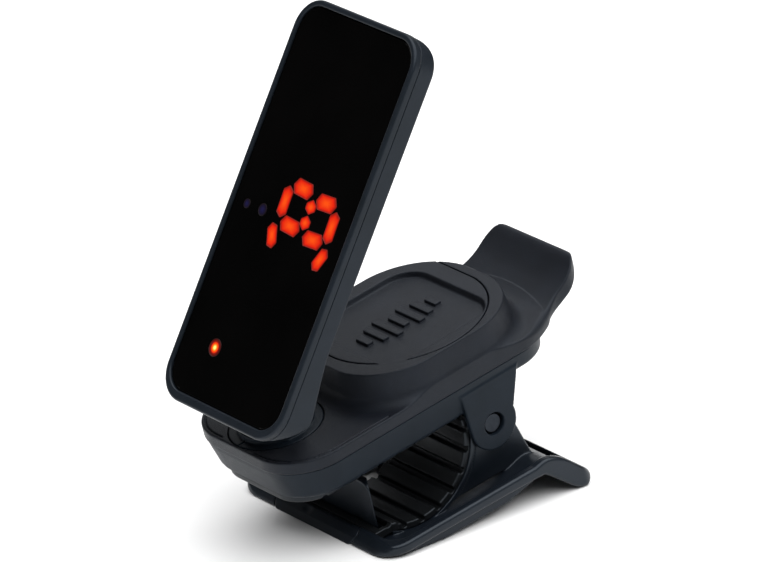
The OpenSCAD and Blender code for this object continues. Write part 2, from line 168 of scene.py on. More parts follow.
def surface(field, low, high, h):
    """Vertices and quads of the field's zero surface."""
    lo = np.array(low, float) - 2 * h
    n = tuple(int(math.ceil(k / BLOCK)) * BLOCK for k in (np.array(high) - lo) / h + 3)
    grid = sample(field, lo, h, n)
    sign = grid < 0
    corners = [(i, j, k) for i in (0, 1) for j in (0, 1) for k in (0, 1)]
    cut = [slice(0, -1), slice(1, None)]
    count = sum(sign[cut[i], cut[j], cut[k]].astype(np.uint8) for i, j, k in corners)
    cells = np.array(np.nonzero((count > 0) & (count < 8))).T
    total = np.zeros((len(cells), 3))
    hits = np.zeros(len(cells))
    for c in corners:
        for axis in range(3):
            if c[axis]:
                continue
            a = cells + c
            b = a.copy()
            b[:, axis] += 1
            fa, fb = grid[tuple(a.T)], grid[tuple(b.T)]
            m = (fa < 0) != (fb < 0)
            t = np.where(m, fa / np.where(m, fa - fb, 1), 0)
            point = np.array(c, float)[None] + np.eye(3)[axis][None] * t[:, None]
            total[m] += point[m]
            hits[m] += 1
    verts = lo + (cells + total / hits[:, None]) * h
    number = np.full(count.shape, -1, np.int64)
    number[tuple(cells.T)] = np.arange(len(cells))
    quads = []
    for axis in range(3):
        u, v = (axis + 1) % 3, (axis + 2) % 3
        a = [slice(None)] * 3
        b = [slice(None)] * 3
        a[axis], b[axis] = slice(0, -1), slice(1, None)
        edge = np.array(np.nonzero(sign[tuple(a)] != sign[tuple(b)])).T
        inner = (edge[:, u] > 0) & (edge[:, v] > 0)
        inner &= (edge[:, u] < n[u] - 1) & (edge[:, v] < n[v] - 1)
        edge = edge[inner]
        du, dv = np.eye(3, dtype=int)[u], np.eye(3, dtype=int)[v]
        ring = [number[tuple((edge - s).T)] for s in (du + dv, dv, 0 * dv, du)]
        q = np.array(ring).T
        out = sign[tuple(edge.T)]
        q[~out] = q[~out][:, ::-1]
        quads.append(q)
    return verts, np.concatenate(quads)


def slope(field, p, step):
    g = np.empty_like(p)
    for i in range(3):
        d = np.zeros(3)
        d[i] = step
        g[:, i] = field(*(p + d).T) - field(*(p - d).T)
    return g / (2 * step)


def mesh_of(name, verts, faces, to_row, normals=None):
    mesh = bpy.data.meshes.new(name)
    size = faces.shape[1]
    m = np.array(to_row)
    row = verts @ m[:3, :3].T + m[:3, 3]
    mesh.vertices.add(len(verts))
    mesh.vertices.foreach_set("co", row.astype(np.float32).ravel())
    mesh.loops.add(faces.size)
    mesh.loops.foreach_set("vertex_index", faces.astype(np.int32).ravel())
    mesh.polygons.add(len(faces))
    mesh.polygons.foreach_set("loop_start", np.arange(0, faces.size, size, dtype=np.int32))
    mesh.update(calc_edges=True)
    mesh.validate()
    mesh.polygons.foreach_set("use_smooth", np.ones(len(faces), bool))
    if normals is not None:
        turned = normals @ m[:3, :3].T
        turned /= np.linalg.norm(turned, axis=1)[:, None] + 1e-12
        mesh.normals_split_custom_set_from_vertices(turned.tolist())
    mesh.update()
    obj = bpy.data.objects.new(name, mesh)
    bpy.context.scene.collection.objects.link(obj)
    return obj


def made(obj, body, material, slot, *nodes):
    obj.data.materials.append(material)
    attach(obj, body)
    if nodes:
        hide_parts(*nodes)
    return obj


def solid(name, field, low, high, h, to_row):
    h *= COARSE
    verts, quads = surface(field, low, high, h)
    for _ in range(3):
        g = slope(field, verts, 0.2 * h)
        d = field(*verts.T)
        step = d[:, None] * g / (np.sum(g * g, 1)[:, None] + 1e-6)
        size = np.linalg.norm(step, axis=1)[:, None] + 1e-9
        verts = verts - step * np.minimum(1, 0.5 * h / size)
    return mesh_of(name, verts, quads, to_row, slope(field, verts, NORMAL_STEP))


def lathe(name, profile, centre, axis, to_row, segments=64):
    """A turned piece: profile is (radius, height along axis) from one end to the other."""
    axis = Vector(axis).normalized()
    side = axis.orthogonal().normalized()
    other = axis.cross(side)
    rings = []
    for r, t in profile:
        for k in range(segments):
            a = 2 * math.pi * k / segments
            rings.append(Vector(centre) + axis * t + (side * math.cos(a) + other * math.sin(a)) * r)
    n = len(profile)
    faces = []
    for i in range(n - 1):
        for k in range(segments):
            j = (k + 1) % segments
            faces.append((i * segments + k, i * segments + j,
                          (i + 1) * segments + j, (i + 1) * segments + k))
    mesh = bpy.data.meshes.new(name)
    caps = [tuple(range(segments))[::-1], tuple(range((n - 1) * segments, n * segments))]
    mesh.from_pydata([to_row @ v for v in rings], [], faces + caps)
    mesh.update()
    mesh.shade_smooth()
    obj = bpy.data.objects.new(name, mesh)
    bpy.context.scene.collection.objects.link(obj)
    creased(obj)
    return obj


def creased(obj, degrees=35):
    obj.data.set_sharp_from_angle(angle=math.radians(degrees))


# ---------------------------------------------------------------- materials
def nodes_of(name):
    mat = bpy.data.materials.new(name)
    mat.use_nodes = True
    tree = mat.node_tree
    return mat, tree.nodes, tree.links, tree.nodes["Principled BSDF"]


def noise(nodes, links, scale, detail=2.0, rough=0.5):
    coord = nodes.new("ShaderNodeTexCoord")
    tex = nodes.new("ShaderNodeTexNoise")
    tex.inputs["Scale"].default_value = scale
    tex.inputs["Detail"].default_value = detail
    tex.inputs["Roughness"].default_value = rough
    links.new(coord.outputs["Object"], tex.inputs["Vector"])
    return tex


def ramp(nodes, links, source, stops):
    r = nodes.new("ShaderNodeValToRGB")
    e = r.color_ramp.elements
    while len(e) < len(stops):
        e.new(0.5)
    for k, (at, colour) in enumerate(stops):
        e[k].position = at
        e[k].color = (*colour, 1)
    links.new(source, r.inputs["Fac"])
    return r


def plastic(name, dark, light, rough, grain, depth, gloss=0.5):
    """Moulded plastic: a fine grain in the bump, and faint cloudiness in colour and sheen."""
    mat, nodes, links, bsdf = nodes_of(name)
    cloud = noise(nodes, links, 260, 4, 0.6)
    tone = ramp(nodes, links, cloud.outputs["Fac"], [(0.3, dark), (0.7, light)])
    links.new(tone.outputs["Color"], bsdf.inputs["Base Color"])
    sheen = nodes.new("ShaderNodeMapRange")
    sheen.inputs["To Min"].default_value = rough - 0.05
    sheen.inputs["To Max"].default_value = rough + 0.06
    wear = noise(nodes, links, 900, 3, 0.6)
    links.new(wear.outputs["Fac"], sheen.inputs["Value"])
    links.new(sheen.outputs["Result"], bsdf.inputs["Roughness"])
    fine = noise(nodes, links, grain, 3, 0.65)
    bump = nodes.new("ShaderNodeBump")
    bump.inputs["Strength"].default_value = depth
    bump.inputs["Distance"].default_value = 0.00006
    links.new(fine.outputs["Fac"], bump.inputs["Height"])
    links.new(bump.outputs["Normal"], bsdf.inputs["Normal"])
    bsdf.inputs["Specular IOR Level"].default_value = gloss
    bsdf.inputs["Specular Tint"].default_value = (0.78, 0.88, 1.0, 1)
    return mat


def metal(name, dark, light, rough, stretch):
    mat, nodes, links, bsdf = nodes_of(name)
    grain = noise(nodes, links, stretch, 5, 0.7)
    tone = ramp(nodes, links, grain.outputs["Fac"], [(0.3, dark), (0.75, light)])
    links.new(tone.outputs["Color"], bsdf.inputs["Base Color"])
    bump = nodes.new("ShaderNodeBump")
    bump.inputs["Strength"].default_value = 0.25
    bump.inputs["Distance"].default_value = 0.00002
    links.new(grain.outputs["Fac"], bump.inputs["Height"])
    links.new(bump.outputs["Normal"], bsdf.inputs["Normal"])
    bsdf.inputs["Metallic"].default_value = 1.0
    bsdf.inputs["Roughness"].default_value = rough
    return mat


def board_material(name):
    mat, nodes, links, bsdf = nodes_of(name)
    cell = nodes.new("ShaderNodeTexVoronoi")
    coord = nodes.new("ShaderNodeTexCoord")
    cell.inputs["Scale"].default_value = 900
    cell.feature = "DISTANCE_TO_EDGE"
    links.new(coord.outputs["Object"], cell.inputs["Vector"])
    tone = ramp(nodes, links, cell.outputs["Distance"],
                [(0.04, (0.03, 0.19, 0.09)), (0.09, (0.012, 0.09, 0.045))])
    links.new(tone.outputs["Color"], bsdf.inputs["Base Color"])
    bump = nodes.new("ShaderNodeBump")
    bump.inputs["Strength"].default_value = 0.4
    bump.inputs["Distance"].default_value = 0.00003
    links.new(cell.outputs["Distance"], bump.inputs["Height"])
    links.new(bump.outputs["Normal"], bsdf.inputs["Normal"])
    bsdf.inputs["Roughness"].default_value = 0.35
    return mat


def glow(name, stops, strength):
    """Glowing piece whose colour runs from rim (0) to middle (1); its own body is all but black. It
    serves lit lights, and also the faint painted glow given to unlit ones.
    """
    mat, nodes, links, bsdf = nodes_of(name)
    core_at = nodes.new("ShaderNodeAttribute")
    core_at.attribute_name = "core"
    tone = ramp(nodes, links, core_at.outputs["Fac"], stops)
    links.new(tone.outputs["Color"], bsdf.inputs["Emission Color"])
    bsdf.inputs["Base Color"].default_value = (0.004, 0.001, 0.001, 1)
    bsdf.inputs["Specular IOR Level"].default_value = 0.1
    bsdf.inputs["Emission Strength"].default_value = strength
    bsdf.inputs["Roughness"].default_value = 0.5
    return mat


# The next two are copies of one black plastic with light painted into their tint. The side copy, on the
# lower shell and swivel, is bluer, as painted shade of the sides. The housing copy, on the upper housing
# and lid, is warmer and greyer, as a painted sheen of lit top faces.
SIDE_SHADE_TINT = plastic("side_plastic_shaded_tint", (0.0055, 0.0085, 0.0125), (0.0075, 0.0115, 0.0170),
               0.40, 9000, 0.45, 0.15)
TOP_LIT_TINT = plastic("housing_plastic", (0.0072, 0.008, 0.0108), (0.0095, 0.0112, 0.0158),
              0.38, 7000, 1.0, 0.2)
SATIN = plastic("display_plastic", (0.007, 0.0095, 0.0125), (0.0095, 0.0125, 0.0175),
                0.32, 12000, 0.2, 0.2)
JAW = plastic("jaw_plastic", (0.0045, 0.0065, 0.0095), (0.0065, 0.009, 0.0135),
              0.3, 8000, 0.25, 0.34)
RUBBER = plastic("pad_rubber", (0.003, 0.0035, 0.004), (0.0055, 0.006, 0.0065),
                 0.42, 6000, 0.4, 0.35)
KNOB = plastic("button_plastic", (0.010, 0.012, 0.015), (0.015, 0.017, 0.020), 0.42, 9000, 0.3)
BLACK = plastic("mask_plastic", (0.001, 0.001, 0.001), (0.002, 0.002, 0.002), 0.8, 8000, 0.2, 0.05)
STEEL = metal("pin_steel", (0.42, 0.43, 0.45), (0.6, 0.61, 0.63), 0.3, 2500)
DARK_STEEL = metal("dark_steel", (0.02, 0.024, 0.03), (0.035, 0.04, 0.048), 0.42, 2500)
BRASS = metal("contact_brass", (0.6, 0.45, 0.2), (0.8, 0.65, 0.35), 0.3, 2500)
CELL = metal("cell_steel", (0.6, 0.6, 0.59), (0.75, 0.75, 0.74), 0.25, 3500)
GREEN = board_material("board_green")
SEGMENT_LIT = [(0.0, (0.16, 0.003, 0.0)), (0.3, (0.8, 0.013, 0.0)), (1.0, (1.0, 0.08, 0.0015))]
RED = glow("segment_light", SEGMENT_LIT, 1.0)


def window_material():
    mat, nodes, links, bsdf = nodes_of("smoked_window")
    haze = noise(nodes, links, 60, 3, 0.5)
    tone = ramp(nodes, links, haze.outputs["Fac"],
                [(0.35, (0.0006, 0.0006, 0.0006)), (0.7, (0.0014, 0.0013, 0.0013))])
    links.new(tone.outputs["Color"], bsdf.inputs["Base Color"])
    soft = noise(nodes, links, 1800, 2, 0.5)
    bump = nodes.new("ShaderNodeBump")
    bump.inputs["Strength"].default_value = 0.02
    bump.inputs["Distance"].default_value = 0.00002
    links.new(soft.outputs["Fac"], bump.inputs["Height"])
    links.new(bump.outputs["Normal"], bsdf.inputs["Normal"])
    bsdf.inputs["Roughness"].default_value = 0.12
    bsdf.inputs["Specular IOR Level"].default_value = 0.04
    return mat


WINDOW = window_material()

# ---------------------------------------------------------------- upper jaw
DECK_SIDE = [(-2, -4), (-2, 0), (44, 0), (47.2, 0.1), (48.7, 0.5), (50.1, 1.1), (51.9, 2.0), (53.6, 3.2),
             (55.0, 4.45), (55.7, 4.75), (56.2, 4.3), (56.15, 3.4), (55.5, 2.1), (54.4, 1.0),
             (53, 0), (51, -0.95), (49.2, -1.55), (48, -1.9), (47.6, -4)]
deck_side = poly(eased(DECK_SIDE, keep=(0, 1, 2, 18)))
LID_X, LID_R = 31, 12.4
LID_FLOOR, LID_GAP = 3.05, 0.14
CUP_R = 10.3


def deck_plan(x, y):
    return plan(x, y, 0, 47.4, 13.55, 8, 6.4)


def outline(x, y):
    """The deck's outline flowing into the thumb tab's."""
    return rmin(deck_plan(x, y), plan(x, y, 36, 56.2, 9.75, 2, 3.6), 4.5)


def upper_form(x, y, z):
    """Deck, battery housing and tab as one outer form, before anything is cut into it."""
    around = outline(x, y)
    soft = 0.25 + 1.0 * np.clip((x - 41) / 4, 0, 1) - 0.85 * np.clip((x - 47) / 4, 0, 1)
    body = rmax(around, deck_side(x, z), soft)
    rise = np.clip(z, 0, 4.8)
    top = plan(x, y, 15.9 + 0.12 * rise, 45.6 - 0.11 * rise, 13.55 - 0.13 * rise, 9.6, 11)
    top = rmax(top, z - 4.8, 0.16)
    body = rmin(body, top, 1.7)
    body = np.maximum(body, around)
    crease = 49.45 - 0.017 * y * y
    face = rmax(crease - x, -deck_side(x, z + 0.13), 0.03)
    return rmax(body, -face, 0.06)


def lid_plan(x, y):
    """Round on the near side, straight out to the far side."""
    return np.hypot(x - LID_X, np.minimum(y, 0)) - LID_R


def housing(x, y, z):
    body = rmax(upper_form(x, y, z), -1.86 - z, 0.1)
    body = rmax(body, -np.maximum(lid_plan(x, y) - LID_GAP, LID_FLOOR - z), 0.08)
    track = np.maximum(np.abs(x - LID_X) - 13.15, np.maximum(-4.2 - y, slab(z, LID_FLOOR, 3.8)))
    body = np.maximum(body, -track)
    cup = np.hypot(x - LID_X, y)
    body = np.maximum(body, -np.maximum(cup - CUP_R, -0.9 - z))
    seat = np.hypot(x - SWIVEL_X, y)
    body = rmax(body, -np.maximum(seat - 6.86, -1.0 - z), 0.06)
    body = np.maximum(body, -(seat - 3.1))
    rim = np.maximum(np.abs(deck_plan(x, y) + 0.62) - 0.09, np.maximum(-0.2 - z, x - 17.5))
    rim = np.maximum(rim, 7.6 - seat)
    body = rmax(body, -rim, 0.06)
    hollow = plan(x, y, 17.7, 43.9, 12.0, 8.3, 9.8)
    hollow = np.maximum(np.maximum(hollow, z - 1.4), 11.3 - cup)
    return np.maximum(body, -hollow)


UNDER = poly([(0.3, 2), (0.3, -3), (1.4, -6.8), (28.5, -6.8), (39, -4.6), (46, -4.6),
              (46.9, -4.3), (47.35, -3.6), (47.35, 2)])
ROOM = poly([(1.5, 0), (2.6, -5.9), (28.4, -5.9), (38.8, -3.7), (45.6, -3.7), (46.1, 0)])
EAR = poly([(29.5, -9.9), (29.1, -3.2), (39.3, -3.2), (38.9, -4.6), (37.2, -9.0)])


def shell(x, y, z):
    t = np.clip((-1.87 - z) / 4.93, 0, 1)
    side = plan(x, y, 0.1 + 1.25 * t, 47.3 - 0.4 * t, 13.5 - 1.05 * t, 8 - t, 7 - t)
    body = rmax(rmax(side, UNDER(x, z), 0.8), z + 1.88, 0.12)
    ear = np.minimum(np.hypot(x - PIVOT[0], z - PIVOT[1]) - 3.9, EAR(x, z))
    ear = rmax(ear, slab(np.abs(y), 12.5, 13.4), 0.22)
    body = rmin(body, ear, 0.35)
    room = np.maximum(np.maximum(side + 1.2, ROOM(x, z)), -z - 6)
    body = np.maximum(body, -room)
    hole = np.hypot(x - PIVOT[0], z - PIVOT[1]) - 1.66
    return rmax(body, -hole, 0.12)


def upper_pad(x, y, z):
    d = rmax(plan(x, y, 1.9, 26.5, 10.6, 5.8, 2), slab(z, -8.0, -6.83), 0.35)
    pitch = 3.2
    k = np.clip(np.round((x - 6) / pitch), 0, 5)
    cut = np.hypot(x - 6 - k * pitch, z + 8.05) - 0.42
    return rmax(d, -cut, 0.15)


made(solid("upper_housing_shell", housing, (-0.2, -13.8, -4.6), (56.6, 13.8, 5.1), 0.2, DECK),
     "upper_jaw", TOP_LIT_TINT, "housing_plastic", "upper_housing")
made(solid("lower_shell_body", shell, (0, -13.8, -14), (47.6, 13.8, -1.7), 0.2, DECK),
     "upper_jaw", SIDE_SHADE_TINT, "shell_plastic", "lower_shell")
made(solid("upper_grip_pad", upper_pad, (1.8, -10.8, -8.2), (26.7, 10.8, -6.6), 0.22, DECK),
     "upper_jaw", RUBBER, "pad_rubber", "upper_pad")

# ---------------------------------------------------------------- battery lid
# half lengths of the raised bars, then where they start, how far apart and how wide they are
BARS = [1.4, 2.4, 3.1, 1.9, 2.9, 2.2, 1.3]
BAR_FROM, BAR_STEP, BAR_WIDE = 23.7, 2.05, 1.2


def lid(x, y, z):
    d = rmax(rmax(upper_form(x, y, z), lid_plan(x, y), 0.1), 3.2 - z, 0.1)
    well = rmax(plan(x, y, 21, 40.5, 10.3, 4, 4.5) - 0.45 * (z - 4.8), 4.0 - z, 0.2)
    d = rmax(d, -well, 0.14)
    for k, half in enumerate(BARS):
        start = BAR_FROM + BAR_STEP * k
        bar = plan(x, y, start, start + BAR_WIDE, half, 0.22, 0.22)
        d = np.minimum(d, rmax(bar, slab(z, 3.6, 4.42), 0.1))
    tongue = slab(np.abs(x - LID_X), 11.8, 13.0)
    return np.minimum(d, np.maximum(tongue, np.maximum(slab(y, -4, 4), slab(z, 3.22, 3.65))))


made(solid("battery_lid_cover", lid, (17.8, -12.6, 3.1), (44.2, 13.7, 4.9), 0.15, DECK),
     "lid", TOP_LIT_TINT, "lid_plastic", "battery_lid")


# ---------------------------------------------------------------- swivel
def swivel(x, y, z):
    r = np.hypot(x - SWIVEL_X, y)
    d = rmax(r - 6.74, slab(z, -0.95, 0), 0.08)
    d = np.minimum(d, np.maximum(r - 3.0, slab(z, -2.35, -0.5)))
    d = rmin(d, rmax(r - 5.4, slab(z, -0.5, 0.85), 0.3), 0.25)
    arm = np.hypot(x - HINGE[0], z - HINGE[1]) - 1.45
    arm = np.minimum(arm, np.maximum(np.abs(x - HINGE[0]) - 1.45, slab(z, -0.2, HINGE[1])))
    arm = rmax(arm, slab(np.abs(y), 3.8, 5.3), 0.25)
    d = rmin(d, arm, 0.5)
    d = np.maximum(d, -(np.hypot(x - HINGE[0], z - HINGE[1]) - 0.83))
    d = np.maximum(d, -np.maximum(r - 0.75, z - 0.3))
    mark = np.maximum(np.abs(y) - 0.12, np.maximum(slab(x, 0.7, 1.8), -0.15 - z))
    return rmax(d, -mark, 0.05)


made(solid("swivel_disc_body", swivel, (0, -7.2, -2.5), (14.4, 7.2, 6.9), 0.16, DECK),
     "swivel", SIDE_SHADE_TINT, "shell_plastic", "swivel_disc")

# ---------------------------------------------------------------- lower jaw
JAW_SIDE = [(0, 0), (0.8, 0.95), (1.9, 1.65), (27, 1.7), (28.4, 2), (29.3, 2), (30.5, 1.6),
            (31.7, 0.9), (32.7, 0), (34.2, -1.6), (35.7, -3.1), (36.4, -3.9), (36.4, -4.4),
            (36.1, -4.9), (35.1, -5.4), (34.1, -5.25), (33.2, -4.8), (32.3, -4), (30.4, -2.1),
            (28.9, -0.6), (28, 0)]
TROUGH = [(2.6, 0.3), (5, 0), (10.5, -0.85), (22, -0.85), (26.8, 0.3), (28, 0.75), (29.3, 0.9),
          (30.5, 0.5), (31.7, -0.2), (32.7, -1.1), (34.2, -2.7), (35.2, -3.7), (35.2, 4), (2.6, 4)]
jaw_side = poly(eased(JAW_SIDE, keep=(0, 1, 2, 3, 14, 15)))
trough = poly(eased(TROUGH, keep=(0, 11, 12, 13)))
belly = poly([(2, 0.3), (2.6, -0.25), (10.5, -1.43), (22, -1.43), (27.6, -0.35), (28.2, 0.3)])
CHEEK = poly([(12, 0), (30.7, 0.2), (29.9, 2.8), (28.8, 6.6), (28.1, 9.3), (21.8, 10.2),
              (19.5, 10.2)])
CRADLE = (10.9, 9.75)
HUB = (24.8, 8.5)
SEAT_R, SEAT_HALF = 10.6, 12.2
LAST_GROOVE = 7


def insert_plan(x, y):
    """Half width of the nose insert, bowed outwards."""
    return np.abs(y) - 8.5 - 0.9 * np.sin(math.pi * np.clip(x / 2.6, 0, 1))


def jaw_frame(x, y, z):
    outer = rmax(jaw_side(x, z), plan(x, y, 0, 36.5, 18, 4.4, 2), 0.55)
    outer = np.minimum(outer, np.maximum(belly(x, z), np.abs(y) - 17.2))
    well = rmax(trough(x, z), plan(x, y, 2.6, 40, 16.6, 3, 3), 0.35)
    d = rmax(outer, -well, 0.2)
    d = rmax(d, -np.maximum(insert_plan(x, y) - 0.12, np.maximum(x - 2.5, -1 - z)), 0.08)
    rr = np.hypot(x - CRADLE[0], z - CRADLE[1])
    d = np.maximum(d, -np.maximum(rr - SEAT_R, np.abs(y) - SEAT_HALF))
    fin = rmax(plan(z, y, -9, 8.5, 10.95 - 0.02 * (z - 1), 1.8, 1.8), slab(x, 4, 5.2), 0.2)
    fin = np.maximum(np.maximum(fin, np.abs(y) - 11.0 + 1.7 * (x - 4)), -0.1 - z)
    d = np.minimum(d, fin)
    web = np.maximum(np.maximum(SEAT_R - rr, rr - 11.2), np.abs(y) - SEAT_HALF)
    web = np.maximum(web, np.maximum(5.4 - x, z - 10))
    d = np.minimum(d, web)
    cheek = np.minimum(CHEEK(x, z), np.hypot(x - HUB[0], z - HUB[1]) - 3.4)
    cheek = np.maximum(cheek, SEAT_R - rr)
    cheek = rmax(cheek, slab(np.abs(y), 11, SEAT_HALF), 0.2)
    d = rmin(d, cheek, 0.3)
    d = np.maximum(d, -(np.hypot(x - HUB[0], z - HUB[1]) - 1.65))
    return np.maximum(d, -window_cut(x, y, z))


def window_cut(x, y, z):
    return block(x, y, z, (10.6, 2.6, -4), (16.8, 9.2, 2), 0.3)


def nose(x, y, z):
    d = rmax(jaw_side(x, z), np.maximum(insert_plan(x, y), x - 2.42), 0.1)
    d = np.maximum(d, -0.02 - z)
    dent = np.sqrt((x - 1.0) ** 2 + ((y - 2.2) / 1.6) ** 2 + (z - 1.9) ** 2) - 0.75
    return rmax(d, -dent, 0.3)


GROOVE_FROM, GROOVE_STEP = math.radians(-127.5), math.radians(17.8)


def cradle_pad(x, y, z):
    dx, dz = x - CRADLE[0], z - CRADLE[1]
    rr = np.hypot(dx, dz)
    ring = rmax(slab(rr, 9.5, 10.56), np.maximum(5.5 - x, z - 10.85), 0.2)
    ring = rmax(ring, np.abs(y) - 12.1, 0.28)
    lip = rmax(rmax(slab(x, 2.66, 3.9), slab(z, 0.42, 1.62), 0.2), np.abs(y) - 12.1, 0.3)
    ends = block(x, np.abs(y), z, (2.66, 11.2, 0.42), (6.4, 12.1, 1.62), 0.2)
    d = np.minimum(rmin(ring, ends, 0.3), lip)
    angle = np.arctan2(dz, dx)
    k = np.clip(np.round((angle - GROOVE_FROM) / GROOVE_STEP), 0, LAST_GROOVE)
    off = rr * np.sin(angle - GROOVE_FROM - k * GROOVE_STEP)
    cut = rmax(np.abs(off) - 0.42, rr - 10.25, 0.3)
    cut = np.where(dx * np.cos(angle) + dz * np.sin(angle) > 5, cut, 1)
    d = rmax(d, -cut, 0.2)
    return np.maximum(d, -window_cut(x, y, z))


made(solid("lower_jaw_body", jaw_frame, (-0.1, -18.2, -5.6), (36.7, 18.2, 12.1), 0.2, LOWER),
     "lower_jaw", JAW, "jaw_plastic", "lower_jaw_frame")
made(solid("nose_insert_body", nose, (-0.1, -9.6, -0.1), (2.7, 9.6, 1.8), 0.14, LOWER),
     "lower_jaw", JAW, "jaw_plastic", "nose_insert")
made(solid("ribbed_cradle_pad", cradle_pad, (2.5, -13.6, -1), (21.7, 13.6, 11.1), 0.16, LOWER),
     "lower_jaw", RUBBER, "pad_rubber", "lower_pad")


def tube(name, path, radius, to_row, sides=16):
    """A round wire along a path, with closed ends."""
    pts = np.array(path, float)
    ahead = np.gradient(pts, axis=0)
    ahead /= np.linalg.norm(ahead, axis=1)[:, None]
    up = np.cross(ahead[0], (0.3, 0.8, 0.5))
    rings = []
    for p, t in zip(pts, ahead):
        up = up - t * (up @ t)
        up /= np.linalg.norm(up)
        side = np.cross(t, up)
        for k in range(sides):
            a = 2 * math.pi * k / sides
            rings.append(p + (up * math.cos(a) + side * math.sin(a)) * radius)
    faces = []
    for i in range(len(pts) - 1):
        for k in range(sides):
            j = (k + 1) % sides
            faces.append((i * sides + k, i * sides + j, (i + 1) * sides + j, (i + 1) * sides + k))
    last = (len(pts) - 1) * sides
    caps = [tuple(range(sides))[::-1], tuple(range(last, last + sides))]
    mesh = bpy.data.meshes.new(name)
    mesh.from_pydata([to_row @ Vector(v) for v in rings], [], faces + caps)
    mesh.update()
    mesh.shade_smooth()
    obj = bpy.data.objects.new(name, mesh)
    bpy.context.scene.collection.objects.link(obj)
    creased(obj, 50)
    return obj


def spring_path():
    turns, pitch, r = 6.0, 0.8, 2.25
    start = -turns * pitch / 2
    path = []
    leg = (math.cos(math.radians(24)), math.sin(math.radians(24)))
    for s in np.linspace(6.0, 0.3, 12):
        path.append((PIVOT[0] + s * leg[0], start, PIVOT[1] + r + s * leg[1]))
    for a in np.linspace(0, 2 * math.pi * (turns + 0.5), 260):
        path.append((PIVOT[0] - r * math.sin(a), start + pitch * a / (2 * math.pi),
                     PIVOT[1] + r * math.cos(a)))
    end = path[-1][1]
    for s in np.linspace(0.3, 5.7, 12):
        path.append((PIVOT[0] + s * 0.34, end, PIVOT[1] - r - s * 0.94))
    return path


made(tube("torsion_spring", spring_path(), 0.4, DECK), "lower_jaw", STEEL, "spring_steel", "jaw_spring")
made(lathe("pivot_pin", [(1.3, -12.9), (1.6, -12.65), (1.6, 12.65), (1.3, 12.9)],
           (PIVOT[0], 0, PIVOT[1]), (0, 1, 0), DECK),
     "lower_jaw", DARK_STEEL, "steel", "jaw_pin")

# ---------------------------------------------------------------- display
# In the display's frame x is depth behind the face, z is height.
BACK = [(0, 0), (0, 59), (2.1, 58.95), (3.1, 58.5), (3.7, 57.4), (3.9, 55.6), (3.9, 52),
        (3.8, 15), (4.15, 12), (4.6, 9.2), (5.0, 7), (5.3, 5.4), (5.2, 4.3), (4.6, 3.3),
        (3.6, 2.3), (2.5, 1.3), (1.5, 0.35)]
back_side = poly(eased(BACK, keep=(0, 1)))
PIN = (7.118, 5.539)
DISP_LONG, DISP_HALF, DISP_R = 59, 13.65, 4.6
BUTTON_UP = 47
LENS_DEPTH = 0.255


def disp_plan(y, z, inset=0.0, low=0.0):
    r = DISP_R - inset
    return plan(z, y, low + inset, DISP_LONG - inset, DISP_HALF - inset, r, r)


def display_back(x, y, z):
    d = np.maximum(rmax(disp_plan(y, z), back_side(x, z), 0.3), 1.2 - x)
    knuckle = np.minimum(np.hypot(x - PIN[0], z - PIN[1]) - 1.7,
                         np.maximum(slab(x, 3.4, PIN[0]), slab(z, PIN[1] - 1.7, PIN[1] + 1.7)))
    d = rmin(d, rmax(knuckle, np.abs(y) - 3.5, 0.25), 0.4)
    d = np.maximum(d, -np.maximum(disp_plan(y, z, 1.45, 1.2), x - 2.95))
    d = np.maximum(d, -(np.hypot(x - PIN[0], z - PIN[1]) - 0.85))
    d = rmax(d, -np.maximum(np.hypot(y, z - BUTTON_UP) - 2.62, 2 - x), 0.15)
    for s in (-9.5, 9.5):
        well = np.hypot(y - s, z - 6.4)
        d = rmax(d, -np.maximum(well - 1.15, 4.1 - x), 0.1)
    return d


def bezel(x, y, z):
    d = np.maximum(rmax(disp_plan(y, z), -x, 0.36), x - 1.18)
    hole = disp_plan(y, z, 0.9, 0.5)
    return rmax(d, -hole, 0.22)


def window(x, y, z):
    return rmax(disp_plan(y, z, 0.96, 0.5), slab(x, 0.28, 0.95), 0.1)


def button(x, y, z):
    r = np.hypot(y, z - BUTTON_UP)
    dish = np.sqrt(r * r + (x - 12.6) ** 2) - 8.75
    d = rmax(rmax(r - 2.45, slab(x, 2.75, 4.0), 0.25), -dish, 0.2)
    return np.minimum(d, rmax(r - 3.05, slab(x, 2.72, 2.88), 0.04))


made(solid("display_back_shell", display_back, (1, -13.8, -0.1), (9.1, 13.8, 59.1), 0.22, FACE),
     "display", SATIN, "display_shell_plastic", "display_back")
made(solid("display_bezel_ring", bezel, (-0.1, -13.8, -0.1), (1.3, 13.8, 59.1), 0.17, FACE),
     "display", SATIN, "bezel_plastic", "display_bezel")
made(solid("smoked_window", window, (0.2, -13, 1.2), (1, 13, 58.3), 0.3, FACE),
     "display", WINDOW, "window_glass", "display_window")
made(solid("power_button_cap", button, (2.6, -3.2, 43.8), (4.2, 3.2, 50.2), 0.12, FACE),
     "button", KNOB, "button_plastic", "power_button")

# lit segments: height, across, half length, half width, turn in degrees
SEGMENTS = [(34, -0.6, 2.3, 1.17, 87), (33.4, -6.2, 2.3, 1.17, 93), (31.4, 2.2, 2.35, 1.08, 2),
            (30.6, -8.95, 2.35, 1.08, 2), (32.1, -3.4, 1.1, 1.1, 0), (29.8, -3.4, 1.1, 1.1, 0),
            (28.55, -0.6, 2.3, 1.13, 87), (28.05, -6.1, 2.3, 1.13, 93), (26.4, 2.3, 1.9, 1.0, 25),
            (26, -9.0, 1.9, 1.0, -25)]
# meter lights: height, across, radius
LEDS = [(9, 5.3, 1.3), (29.1, 6.1, 0.9), (29, 9.7, 0.7)]


def segment(height, across, long, wide, turn):
    """A six-sided bar, as (across, height) points."""
    c, s = math.cos(math.radians(turn)), math.sin(math.radians(turn))
    flat = long - 0.62 * wide
    corners = [(-long, 0), (-flat, -wide), (flat, -wide), (long, 0), (flat, wide), (-flat, wide)]
    return [(across + u * s + v * c, height + u * c - v * s) for u, v in corners]


